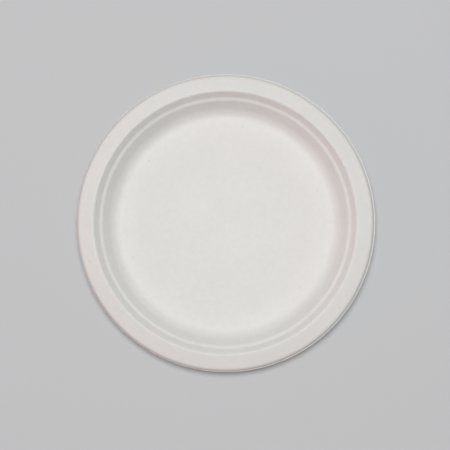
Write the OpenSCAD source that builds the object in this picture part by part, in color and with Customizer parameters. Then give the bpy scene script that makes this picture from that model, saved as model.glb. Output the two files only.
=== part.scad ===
// Round plate pressed in one piece from wet pulp: a flat floor, a swept wall
// with a soft step in it, and a rim that falls outwards to a turned-down edge.
// Millimetres, +Z up, origin at the middle of the underside, on the table.

/* [Plate] */
// Diameter over the trimmed edge
plate_d = 260; // [200:1:320]
// Height from the table to the crest of the rim
plate_h = 21; // [18:0.5:26]
// Thickness of the pressed pulp, the same all over
pulp_t = 0.6; // [0.4:0.05:1]

/* [Sweep from the floor into the wall] */
// Radius of the tight curve that lifts the sheet off the table
foot_r = 9.5; // [4:0.5:16]
// Slope at which the tight curve passes into the wide one, from level
foot_slope = 34; // [20:1:45]
// Radius of the wide curve above it
sweep_r = 22; // [12:1:40]

/* [Wall] */
// Slope of the wall below the step, from level
lower_slope = 53; // [45:0.5:62]
// Height of the step's outer corner above the table, on the food side
step_h = 15; // [11:0.1:17]
// Width of the step, over its two corners
step_w = 2.7; // [2.25:0.05:6]
// Slope of the step, from level
step_slope = 32; // [25:1:45]
// Radius of the step's two corners
step_r = 5.6; // [1:0.1:6.5]
// Slope of the wall above the step, from level
upper_slope = 54; // [42:0.5:70]

/* [Rim] */
// Radius of the crest between the wall and the rim
crest_r = 2; // [1:0.1:5]
// Width of the falling rim, over its corners
rim_w = 13; // [8:0.1:22]
// Slope by which the rim falls outwards, from level
rim_slope = 17; // [8:0.5:28]

/* [Edge] */
// Radius of the shoulder where the rim turns down
shoulder_r = 4.8; // [1:0.1:6.4]
// Height of the turned-down edge outside the rim
edge_h = 2.6; // [2.2:0.1:6]
// Lean of the turned-down edge, from upright
edge_lean = 33; // [23:1:45]
// Width of the level lip that the trimming leaves round the plate
lip_w = 0.8; // [0.6:0.1:4]
// Radius of the hollow between the turned-down edge and the lip
hollow_r = 0.8; // [0.6:0.1:1.4]

/* [Hidden] */
$fn = 180;
// Largest turn from one point of a rounded corner to the next, in degrees
arc_step = 6;

half_t = pulp_t / 2;

// The sheet's middle line is a chain of straight stretches. Each radius rounds
// the corner that two of them make. First the corners' heights, from the table up.
floor_z = half_t;
// The tight and the wide curve meet each other with nothing straight between them
foot_run = foot_r * tan(foot_slope / 2);
sweep_run = sweep_r * tan((lower_slope - foot_slope) / 2);
sweep_z = floor_z + (foot_run + sweep_run) * sin(foot_slope);
step_outer_z = step_h - half_t;
step_inner_z = step_outer_z - step_w * tan(step_slope);
// The wall and the rim would cross this far above the crest's rounded top
crest_cut = crest_r * (cos((upper_slope - rim_slope) / 2) / cos((upper_slope + rim_slope) / 2) - 1);
crest_z = plate_h - half_t + crest_cut;
shoulder_z = crest_z - rim_w * tan(rim_slope);
lip_z = shoulder_z - edge_h;

// Then the corners' distances from the axis, from the trimmed edge inwards
trim_x = plate_d / 2;
hollow_x = trim_x - lip_w;
shoulder_x = hollow_x - edge_h * tan(edge_lean);
crest_x = shoulder_x - rim_w;
step_outer_x = crest_x - (crest_z - step_outer_z) / tan(upper_slope);
step_inner_x = step_outer_x - step_w;
sweep_x = step_inner_x - (step_inner_z - sweep_z) / tan(lower_slope);
foot_x = sweep_x - (sweep_z - floor_z) / tan(foot_slope);

// Corners of the middle line from the axis outwards, each with its radius
corners = [
    [[0, floor_z], 0],
    [[foot_x, floor_z], foot_r],
    [[sweep_x, sweep_z], sweep_r],
    [[step_inner_x, step_inner_z], step_r],
    [[step_outer_x, step_outer_z], step_r],
    [[crest_x, crest_z], crest_r],
    [[shoulder_x, shoulder_z], shoulder_r],
    [[hollow_x, lip_z], hollow_r],
    [[trim_x, lip_z], 0],
];

function unit(v) = v / norm(v);
function left_of(v) = [-v.y, v.x];

// One rounded corner, for the face that lies `side` to the left of the middle line
function rounded(before, corner, after, radius, side) =
    let (
        into = unit(corner - before),
        away = unit(after - corner),
        turn = atan2(cross(into, away), into * away),
        way = sign(turn),
        tangent = corner - into * radius * tan(abs(turn) / 2),
        centre = tangent + left_of(into) * radius * way,
        reach = way * radius - side,
        steps = ceil(abs(turn) / arc_step)
    )
    [for (k = [0:steps])
        centre + reach * (into * sin(turn * k / steps) - left_of(into) * cos(turn * k / steps))];

// One face of the sheet from the axis to the trimmed edge; both its ends are level
function face(side) = concat(
    [corners[0][0] + [0, side]],
    [for (i = [1:len(corners) - 2])
        each rounded(corners[i - 1][0], corners[i][0], corners[i + 1][0], corners[i][1], side)],
    [corners[len(corners) - 1][0] + [0, side]]
);

function backwards(points) = [for (i = [len(points) - 1:-1:0]) points[i]];

module section() {
    polygon(concat(face(-half_t), backwards(face(half_t))));
}

module plate() {
    color([0.87, 0.865, 0.85])
        rotate_extrude()
            section();
}

plate();
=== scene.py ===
import math

import bpy
from mathutils import Matrix, Vector


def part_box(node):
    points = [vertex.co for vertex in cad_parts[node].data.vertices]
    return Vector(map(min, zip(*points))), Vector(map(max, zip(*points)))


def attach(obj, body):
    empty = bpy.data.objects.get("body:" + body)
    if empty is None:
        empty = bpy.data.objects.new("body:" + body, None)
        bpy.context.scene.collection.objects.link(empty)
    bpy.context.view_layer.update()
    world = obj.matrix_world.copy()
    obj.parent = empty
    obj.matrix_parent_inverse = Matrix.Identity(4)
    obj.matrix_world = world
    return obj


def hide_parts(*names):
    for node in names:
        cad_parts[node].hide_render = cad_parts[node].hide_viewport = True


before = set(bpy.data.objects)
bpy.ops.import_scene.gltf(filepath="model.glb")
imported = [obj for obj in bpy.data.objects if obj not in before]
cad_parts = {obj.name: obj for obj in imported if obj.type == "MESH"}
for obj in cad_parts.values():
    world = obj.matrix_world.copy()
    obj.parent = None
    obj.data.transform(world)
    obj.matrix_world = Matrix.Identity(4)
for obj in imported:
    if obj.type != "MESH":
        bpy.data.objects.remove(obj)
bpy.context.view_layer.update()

# The plate
# One sheet of bleached plant pulp, drawn wet onto a screen, pressed hot between two dies, trimmed.
# From the middle outwards: a level floor, a swept wall with a soft step, a crest, a falling rim, a
# turned-down edge and a level lip. The food side is smooth, and the screen marks the underside.

MM = 0.001


def sin_deg(angle):
    return math.sin(math.radians(angle))


def cos_deg(angle):
    return math.cos(math.radians(angle))


def tan_deg(angle):
    return math.tan(math.radians(angle))


# The section's sizes are the solid's: lengths in metres, and slopes in degrees from level, apart
# from the turned-down edge's lean, which is from upright
plate_low, plate_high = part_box("plate")
plate_h = plate_high.z - plate_low.z
pulp_t = 0.6 * MM
foot_r = 9.5 * MM
foot_slope = 34
sweep_r = 22 * MM
lower_slope = 53
step_h = 15 * MM
step_w = 2.7 * MM
step_slope = 32
step_r = 5.6 * MM
upper_slope = 54
crest_r = 2 * MM
rim_w = 13 * MM
rim_slope = 17
shoulder_r = 4.8 * MM
edge_h = 2.6 * MM
edge_lean = 33
lip_w = 0.8 * MM
hollow_r = 0.8 * MM

# The trimmed edge is worn round by this much, and stays this far inside the solid's outline
edge_round = 0.15 * MM
edge_room = 0.1 * MM

# Heights of the corners of the sheet's middle line, from the table up
half_t = pulp_t / 2
foot_run = foot_r * tan_deg(foot_slope / 2)
sweep_run = sweep_r * tan_deg((lower_slope - foot_slope) / 2)
sweep_z = half_t + (foot_run + sweep_run) * sin_deg(foot_slope)
step_outer_z = step_h - half_t
step_inner_z = step_outer_z - step_w * tan_deg(step_slope)
# The wall and the rim would cross this far above the crest's rounded top
crest_turn = cos_deg((upper_slope - rim_slope) / 2) / cos_deg((upper_slope + rim_slope) / 2)
crest_z = plate_h - half_t + crest_r * (crest_turn - 1)
shoulder_z = crest_z - rim_w * tan_deg(rim_slope)
lip_z = shoulder_z - edge_h

# Then their distances from the axis, from the trimmed edge inwards
outline_r = min(plate_high.x, plate_high.y, -plate_low.x, -plate_low.y)
trim_x = outline_r - edge_round - edge_room
hollow_x = outline_r - lip_w
shoulder_x = hollow_x - edge_h * tan_deg(edge_lean)
crest_x = shoulder_x - rim_w
step_outer_x = crest_x - (crest_z - step_outer_z) / tan_deg(upper_slope)
step_inner_x = step_outer_x - step_w
sweep_x = step_inner_x - (step_inner_z - sweep_z) / tan_deg(lower_slope)
foot_x = sweep_x - (sweep_z - half_t) / tan_deg(foot_slope)

# Each corner's place, and the radius that rounds it
corners = [
    (0, half_t, 0),
    (foot_x, half_t, foot_r),
    (sweep_x, sweep_z, sweep_r),
    (step_inner_x, step_inner_z, step_r),
    (step_outer_x, step_outer_z, step_r),
    (crest_x, crest_z, crest_r),
    (shoulder_x, shoulder_z, shoulder_r),
    (hollow_x, lip_z, hollow_r),
    (trim_x, lip_z, 0),
]

corner_places = [(x, 0, z) for x, z, _ in corners]
stretches = [(i, i + 1) for i in range(len(corners) - 1)]
section = bpy.data.meshes.new("section_corners")
section.from_pydata(corner_places, stretches, [])
bend = section.attributes.new("bend_radius", "FLOAT", "POINT")
for point, (_, _, radius) in zip(bend.data, corners):
    point.value = radius

plate = bpy.data.objects.new("pressed_plate", section)
bpy.context.scene.collection.objects.link(plate)


class Wire:
    """A socket of a node tree. Operators on it add Math nodes, and node() adds any other node."""

    def __init__(self, tree, socket=None):
        self.tree = tree
        self.socket = socket

    def node(self, kind, settings=None, inputs=None, output=0):
        """Adds a node, makes its settings, fills its sockets, and gives one of its outputs."""
        made = self.tree.nodes.new(kind)
        for name, value in (settings or {}).items():
            setattr(made, name, value)
        for name, value in (inputs or {}).items():
            if isinstance(value, Wire):
                self.tree.links.new(value.socket, made.inputs[name])
            else:
                made.inputs[name].default_value = value
        return Wire(self.tree, made.outputs[output] if len(made.outputs) else None)

    def math(self, operation, *others):
        """Adds a Math node that works on this wire and then the others."""
        operands = dict(enumerate((self,) + others))
        return self.node("ShaderNodeMath", {"operation": operation}, operands)

    def __add__(self, other):
        return self.math("ADD", other)

    def __radd__(self, other):
        return self.math("ADD", other)

    def __sub__(self, other):
        return self.math("SUBTRACT", other)

    def __rsub__(self, other):
        return self.node("ShaderNodeMath", {"operation": "SUBTRACT"}, {0: other, 1: self})

    def __mul__(self, other):
        return self.math("MULTIPLY", other)

    def __rmul__(self, other):
        return self.math("MULTIPLY", other)

    def __truediv__(self, other):
        return self.math("DIVIDE", other)

    def __rtruediv__(self, other):
        return self.node("ShaderNodeMath", {"operation": "DIVIDE"}, {0: other, 1: self})

    def along(self, axis):
        """How far a place or a direction goes along the axis X, Y or Z."""
        return self.node("ShaderNodeSeparateXYZ", {}, {"Vector": self}, axis)

    def between(self, start, end, curve="LINEAR"):
        """0 before the start value and 1 past the end value, with a slope or curve between."""
        limits = {"Value": self, "From Min": start, "From Max": end}
        return self.node("ShaderNodeMapRange", {"interpolation_type": curve}, limits)


# What the pressing and the trimming do to the section, each a named input of the tree
pressing = {
    "Pulp thickness": pulp_t,
    "Ring spacing on straight stretches": 4 * MM,
    "Rings in each bend": 10,
    "Steps round the plate": 400,
    "Rings across the trimmed edge": 3,
    "Bulge of the trimmed edge": edge_round,
    "Fray of the trimmed edge": 0.06 * MM,
    "Form's shift along X inside the trimmed edge": -0.45 * MM,
    "Form's shift along Y inside the trimmed edge": -0.17 * MM,
    "Sag of the rim": 0.35 * MM,
    "Lift of the rim on its high side": 1.15 * MM,
    "Seed": 7.0,
}

# Points nearer each other than this are one point
same_point = 0.001 * MM

form = bpy.data.node_groups.new("pressed_form", "GeometryNodeTree")
form.interface.new_socket("Geometry", in_out="INPUT", socket_type="NodeSocketGeometry")
form.interface.new_socket("Geometry", in_out="OUTPUT", socket_type="NodeSocketGeometry")
sockets = {}
for name, value in pressing.items():
    kind = "NodeSocketInt" if isinstance(value, int) else "NodeSocketFloat"
    sockets[name] = form.interface.new_socket(name, in_out="INPUT", socket_type=kind).identifier

given = form.nodes.new("NodeGroupInput")
press = Wire(form)


def given_size(name):
    return Wire(form, given.outputs[name])


thickness = given_size("Pulp thickness")
bulge = given_size("Bulge of the trimmed edge")
edge_rings = given_size("Rings across the trimmed edge")
steps = given_size("Steps round the plate")
seed = given_size("Seed")

# The middle line: the chain of corners as a curve, its corners rounded and its long stretches cut
chain = press.node("GeometryNodeMeshToCurve", {}, {"Mesh": given_size("Geometry")})
bend_radius = press.node(
    "GeometryNodeInputNamedAttribute",
    {"data_type": "FLOAT"},
    {"Name": "bend_radius"},
)
rounded = press.node(
    "GeometryNodeFilletCurve",
    {"mode": "POLY"},
    {"Curve": chain, "Count": given_size("Rings in each bend"), "Radius": bend_radius},
)
# Where two bends meet, their end points are one
bent = press.node("GeometryNodeCurveToMesh", {}, {"Curve": rounded})
joined = press.node("GeometryNodeMergeByDistance", {}, {"Geometry": bent, "Distance": same_point})
bent_line = press.node("GeometryNodeMeshToCurve", {}, {"Mesh": joined})
point_index = press.node("GeometryNodeInputIndex")
here = press.node("GeometryNodeInputPosition")
following = press.node(
    "GeometryNodeFieldAtIndex",
    {"data_type": "FLOAT_VECTOR"},
    {"Index": point_index + 1, "Value": here},
)
stretch = press.node(
    "ShaderNodeVectorMath",
    {"operation": "DISTANCE"},
    {0: here, 1: following},
    "Value",
)
cuts = (stretch / given_size("Ring spacing on straight stretches")).math("FLOOR")
middle_line = press.node("GeometryNodeSubdivideCurve", {}, {"Curve": bent_line, "Cuts": cuts})
rings = press.node(
    "GeometryNodeAttributeDomainSize",
    {"component": "CURVE"},
    {"Geometry": middle_line},
)

# The sheet: a grid whose rows run under the floor to the trimmed edge, round it, and back on top
rows = rings * 2 + edge_rings
grid = press.node(
    "GeometryNodeMeshGrid",
    {},
    {"Size X": rows - 1, "Size Y": steps, "Vertices X": rows, "Vertices Y": steps + 1},
)
place = press.node("GeometryNodeInputPosition")
row = (place.along("X") + (rows - 1) / 2).math("ROUND")
ring = row.math("MINIMUM", rows - 1 - row).math("MINIMUM", rings - 1)
round_edge = row.between(rings - 1, rings + edge_rings) * math.pi - math.pi / 2
side = round_edge.math("SINE")
outward = round_edge.math("COSINE")


def of_ring(value):
    """What the middle line has, such as its place, at the point that this ring comes from."""
    return press.node(
        "GeometryNodeSampleIndex",
        {"data_type": "FLOAT_VECTOR", "domain": "POINT"},
        {"Geometry": middle_line, "Value": value, "Index": ring},
    )


line_point = of_ring(press.node("GeometryNodeInputPosition"))
line_way = of_ring(press.node("GeometryNodeInputTangent"))
line_x = line_point.along("X")
turn = place.along("Y") / steps * (-2 * math.pi)
turn_x = turn.math("COSINE")
turn_y = turn.math("SINE")


def noise_round(waves, seed_step):
    """Noise from 0 to 1 that closes on itself round the plate, with about this many waves."""
    on_circle = press.node(
        "ShaderNodeCombineXYZ",
        {},
        {"X": turn_x * (waves / math.pi), "Y": turn_y * (waves / math.pi), "Z": seed + seed_step},
    )
    return press.node(
        "ShaderNodeTexNoise",
        {"normalize": True},
        {"Vector": on_circle, "Scale": 1.0, "Detail": 2.0},
    )


# The rim has warped since the pressing: over a third of the way round it is higher and falls less
# steeply. The heading is in degrees round from +X, and the reaches are to each side of it.
high_heading = -10
high_reach = 65
fully_high_reach = 30
to_high_side = turn_x * cos_deg(high_heading) + turn_y * sin_deg(high_heading)
high_side = to_high_side.between(cos_deg(high_reach), cos_deg(fully_high_reach), "SMOOTHSTEP")
on_rim = line_x.between(crest_x, shoulder_x)
lift = given_size("Lift of the rim on its high side") * high_side * on_rim

# How far out a ring is, from 0 on the floor to 1 at the trimmed edge, and where the trimming begins
rise = line_x.between(foot_x, trim_x, "SMOOTHSTEP")
trimmed = line_x.between(hollow_x - hollow_r, trim_x)
frayed = noise_round(waves=90, seed_step=5.0) - 0.5
fray = given_size("Fray of the trimmed edge") * frayed * 2 * trimmed
shift_x = given_size("Form's shift along X inside the trimmed edge") * (1 - trimmed)
shift_y = given_size("Form's shift along Y inside the trimmed edge") * (1 - trimmed)
sag = given_size("Sag of the rim") * noise_round(waves=1.5, seed_step=0.0) * rise
reach = line_x - side * thickness / 2 * line_way.along("Z") + outward * bulge + fray
height = line_point.along("Z") + side * thickness / 2 * line_way.along("X") - sag + lift
pressed = press.node(
    "ShaderNodeCombineXYZ",
    {},
    {"X": reach * turn_x + shift_x, "Y": reach * turn_y + shift_y, "Z": height},
)

# The material reads which face it is on, 1 on the food side and 0 on the screen side. It is stored
# before the points move, because the rows are told apart by their places in the flat grid.
marked = press.node(
    "GeometryNodeStoreNamedAttribute",
    {"data_type": "FLOAT", "domain": "POINT"},
    {"Geometry": grid, "Name": "food_side", "Value": side / 2 + 0.5},
)
sheet = press.node("GeometryNodeSetPosition", {}, {"Geometry": marked, "Position": pressed})
closed = press.node("GeometryNodeMergeByDistance", {}, {"Geometry": sheet, "Distance": same_point})
smooth = press.node("GeometryNodeSetShadeSmooth", {}, {"Geometry": closed, "Shade Smooth": True})
real = press.node("GeometryNodeRealizeInstances", {}, {"Geometry": smooth})

pulp = bpy.data.materials.new("pressed_pulp")
pulp.use_nodes = True
faced = press.node("GeometryNodeSetMaterial", {}, {"Geometry": real, "Material": pulp})
press.node("NodeGroupOutput", {}, {"Geometry": faced})

pressed_form = plate.modifiers.new("pressed_form", "NODES")
pressed_form.node_group = form
for name, value in pressing.items():
    pressed_form[sockets[name]] = value
shape = bpy.data.meshes.new_from_object(plate.evaluated_get(bpy.context.evaluated_depsgraph_get()))
plate.modifiers.remove(pressed_form)
shape.name = "pressed_plate"
plate.data = shape


def from_srgb(red, green, blue):
    """The scene-linear colour of three values from 0 to 255, with full alpha."""
    linear = []
    for value in (red / 255, green / 255, blue / 255):
        linear.append(value / 12.92 if value <= 0.04045 else ((value + 0.055) / 1.055) ** 2.4)
    return (*linear, 1.0)


def either(share, without, fully, blend="MIX"):
    """The colour this share of the way from one to another, or to their product for MULTIPLY."""
    # By number, a Mix node's factor is input 0, its colours are 6 and 7, and its result is output 2
    return share.node(
        "ShaderNodeMix",
        {"data_type": "RGBA", "blend_type": blend},
        {0: share, 6: without, 7: fully},
        2,
    )


# Bleached pulp: matt, a warm white, with soft lumps where the wet pulp settled thicker, and a few
# faint grey specks on the food side. Its middle is painted a little paler and cooler than the rest:
# painted light that evens out the floor against the bounce light brightening it near the wall's
# foot
pulp_nodes = pulp.node_tree
surface = pulp_nodes.nodes["Principled BSDF"]
surface.inputs["Specular IOR Level"].default_value = 0.3
paint = Wire(pulp_nodes)
spot = paint.node("ShaderNodeTexCoord", output="Object")
food_side = paint.node("ShaderNodeAttribute", {"attribute_name": "food_side"}, output="Fac")
thin_pulp = from_srgb(212.9, 211.4, 207.6)
thick_pulp = from_srgb(232.1, 230.6, 226.8)
# Painted light: how much paler and cooler the middle of the plate is painted
painted_light_middle = (1.021, 1.032, 1.03, 1.0)
speck_grey = from_srgb(209, 207, 203)

# How wide the clouds, lumps and grain of the pulp are, and each one's share in its tone
cloud_size = 36 * MM
lump_size = 4.5 * MM
grain_size = 1.1 * MM
cloud_share = 0.25
lump_share = 0.4
grain_share = 0.35

# From the axis, how far the painted light of the pale middle is at its full strength, and where it
# ends
full_middle = 24 * MM
middle_end = 76 * MM

# The pulp's roughness where it is thinnest, and how much its lumps can add
least_roughness = 0.85
lump_roughness = 0.1


def pulp_noise(size, detail=2.0, distortion=0.0):
    """Noise from 0 to 1 whose lumps are about this wide."""
    return paint.node(
        "ShaderNodeTexNoise",
        {},
        {"Vector": spot, "Scale": 1 / size, "Detail": detail, "Distortion": distortion},
    )


clouds = pulp_noise(cloud_size)
lumps = pulp_noise(lump_size, detail=3.0)
grain = pulp_noise(grain_size, distortion=1.5)
tone = clouds * cloud_share + lumps * lump_share + grain * grain_share
pulp_colour = either(tone, thin_pulp, thick_pulp)

flat_spot = paint.node(
    "ShaderNodeVectorMath",
    {"operation": "MULTIPLY"},
    {0: spot, 1: (1.0, 1.0, 0.0)},
)
from_axis = paint.node("ShaderNodeVectorMath", {"operation": "LENGTH"}, {0: flat_spot}, "Value")
# Painted light: the base colour turns paler and cooler towards the axis, standing in for an even
# floor
painted_light_share = from_axis.between(middle_end, full_middle, "SMOOTHSTEP")
pulp_colour = either(painted_light_share, pulp_colour, painted_light_middle, "MULTIPLY")

# Each speck's place and radius in millimetres, and how much of the speck's colour it shows. A
# speck is fully itself near its middle and fades out past its radius, at these shares of it.
speck_core = 0.3
speck_end = 1.7
specks = (
    (-67.6, 55.3, 0.7, 1.0),
    (-117.6, -34.3, 1.35, 0.6),
    (14.6, 85.7, 0.75, 0.85),
    (104.4, -63.9, 0.55, 0.75),
    (-81.5, -30.3, 0.95, 0.55),
    (80.7, 28.7, 0.7, 0.75),
    (118.3, -24.4, 0.95, 0.5),
    (65.5, -56.4, 0.8, 0.5),
    (59.4, -67.8, 0.75, 0.55),
)
speckled = 0.0
for x, y, radius, strength in specks:
    from_speck = paint.node(
        "ShaderNodeVectorMath",
        {"operation": "DISTANCE"},
        {0: flat_spot, 1: (x * MM, y * MM, 0.0)},
        "Value",
    )
    shown = from_speck.between(speck_end * radius * MM, speck_core * radius * MM)
    speckled = shown * strength + speckled
pulp_colour = either(speckled * food_side, pulp_colour, speck_grey)
pulp_nodes.links.new(pulp_colour.socket, surface.inputs["Base Color"])
roughness = lumps * lump_roughness + least_roughness
pulp_nodes.links.new(roughness.socket, surface.inputs["Roughness"])

# The food side is smooth but for its fibres, and the screen's wires leave their weave underneath
wire_pitch = 0.9 * MM
weave_depth = 0.02 * MM
fibre_depth = 0.018 * MM
across = (spot.along("X") * (2 * math.pi / wire_pitch)).math("SINE")
lengthwise = (spot.along("Y") * (2 * math.pi / wire_pitch)).math("SINE")
weave = across * lengthwise * weave_depth
relief = paint.node(
    "ShaderNodeBump",
    {},
    {"Height": grain * fibre_depth + weave * (1 - food_side), "Strength": 1.0, "Distance": 1.0},
)
pulp_nodes.links.new(relief.socket, surface.inputs["Normal"])

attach(plate, "root")
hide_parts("plate")

# The floor
# A plain pale matt sweep under the plate. A faint glow of its own keeps the plate's shadow soft,
# and grows into the even pale tone of the distance. Only the camera sees it so: the floor throws
# little light up at the plate's edge, and a soft light at the hollow behind the wall.
pale = from_srgb(198, 199, 200)
dull = (0.12, 0.12, 0.12, 1.0)
black = (0.0, 0.0, 0.0, 1.0)
thrown_up = (0.1, 0.1, 0.1, 1.0)
floor_size = 8.0
near_glow = 0.15
fade_from = 0.35
fade_to = 1.1

# The light thrown up grows over this width, from the plate's outline inwards
grows_over = 10 * MM

square = ((-1, -1), (1, -1), (1, 1), (-1, 1))
floor_corners = [(x * floor_size / 2, y * floor_size / 2, 0) for x, y in square]
floor_mesh = bpy.data.meshes.new("floor")
floor_mesh.from_pydata(floor_corners, [], [(0, 1, 2, 3)])
floor = bpy.data.objects.new("floor", floor_mesh)
bpy.context.scene.collection.objects.link(floor)
floor_paint = bpy.data.materials.new("pale_floor")
floor_paint.use_nodes = True
floor_surface = floor_paint.node_tree.nodes["Principled BSDF"]
floor_surface.inputs["Roughness"].default_value = 1.0
floor_surface.inputs["Specular IOR Level"].default_value = 0.0
floor_surface.inputs["Emission Strength"].default_value = 1.0
floor_mesh.materials.append(floor_paint)


def seen(tree):
    """1 where the camera looks, straight, mirrored or through glass, and 0 for other light."""
    wire = Wire(tree)
    straight = wire.node("ShaderNodeLightPath", output="Is Camera Ray")
    mirrored = wire.node("ShaderNodeLightPath", output="Is Glossy Ray")
    through = wire.node("ShaderNodeLightPath", output="Is Transmission Ray")
    return straight.math("MAXIMUM", mirrored).math("MAXIMUM", through)


floor_seen = seen(floor_paint.node_tree)
floor_spot = floor_seen.node("ShaderNodeTexCoord", output="Object")
from_plate = floor_seen.node(
    "ShaderNodeVectorMath",
    {"operation": "LENGTH"},
    {0: floor_spot},
    "Value",
)
glowing = from_plate.between(fade_from, fade_to, "SMOOTHSTEP") * (1 - near_glow) + near_glow
floor_colour = either(floor_seen, dull, either(glowing, pale, black))
beneath = from_plate.between(outline_r, outline_r - grows_over)
floor_glow = either(floor_seen, either(beneath, black, thrown_up), either(glowing, black, pale))
floor_paint.node_tree.links.new(floor_colour.socket, floor_surface.inputs["Base Color"])
floor_paint.node_tree.links.new(floor_glow.socket, floor_surface.inputs["Emission Color"])

# The light
# One wide soft lamp almost straight overhead, a little towards the picture's top. A weak rosy one
# stands low at the picture's lower left, and a faint glow comes from all round.
lamp_distance = 3.0
lamp_width = 1.6


def soft_lamp(name, tilt, heading, energy, colour):
    """A round lamp aimed at the plate, placed in degrees from straight up and round from +X."""
    lamp = bpy.data.lights.new(name, "AREA")
    lamp.shape = "DISK"
    lamp.size = lamp_width
    lamp.energy = energy
    lamp.color = colour
    level = sin_deg(tilt)
    to_lamp = Vector((cos_deg(heading) * level, sin_deg(heading) * level, cos_deg(tilt)))
    stand = bpy.data.objects.new(name, lamp)
    stand.location = to_lamp * lamp_distance
    stand.rotation_euler = to_lamp.to_track_quat("Z", "Y").to_euler()
    bpy.context.scene.collection.objects.link(stand)


near_white = (0.987, 0.996, 1.0)
rosy = (1.0, 0.349, 0.454)
soft_lamp("overhead_lamp", tilt=7.8, heading=93, energy=87.5, colour=near_white)
soft_lamp("low_rosy_lamp", tilt=75, heading=209, energy=10.5, colour=rosy)

glow = (0.030, 0.026, 0.024, 1.0)
world = bpy.data.worlds.new("faint_glow")
bpy.context.scene.world = world
world.use_nodes = True
sky = world.node_tree.nodes["Background"]
sky_colour = either(seen(world.node_tree), glow, pale)
world.node_tree.links.new(sky_colour.socket, sky.inputs["Color"])

# The camera
# Almost straight above the plate. Its lens and aim put the trimmed edge where the picture has it.
picture_px = 450
edge_radius_px = 149.38
edge_centre_px = (225.88, 223.18)
camera_distance = 1.1
camera_lean_front = 3.8
camera_lean_right = 0.8

metres_per_px = outline_r / edge_radius_px
to_camera = Vector((tan_deg(camera_lean_right), -tan_deg(camera_lean_front), 1)).normalized()
right = Vector((0, 1, 0)).cross(to_camera).normalized()
up = to_camera.cross(right)

# The near half of a circle looks larger, so its middle in the picture lies off its centre
near_shift = Vector((to_camera.x, to_camera.y, 0)) * outline_r ** 2 / camera_distance
edge_middle = Vector((0, 0, lip_z)) + near_shift
off_x = (picture_px / 2 - edge_centre_px[0]) * metres_per_px
off_y = (edge_centre_px[1] - picture_px / 2) * metres_per_px
aim = edge_middle + right * off_x + up * off_y

camera = bpy.data.cameras.new("camera")
camera.sensor_width = 36
camera.lens = camera.sensor_width * camera_distance / (picture_px * metres_per_px)
camera_object = bpy.data.objects.new("camera", camera)
bpy.context.scene.collection.objects.link(camera_object)
facing = Matrix((right, up, to_camera)).transposed().to_4x4()
camera_object.matrix_world = Matrix.Translation(aim + to_camera * camera_distance) @ facing
bpy.context.scene.camera = camera_object

bpy.context.scene.view_settings.view_transform = "Standard"
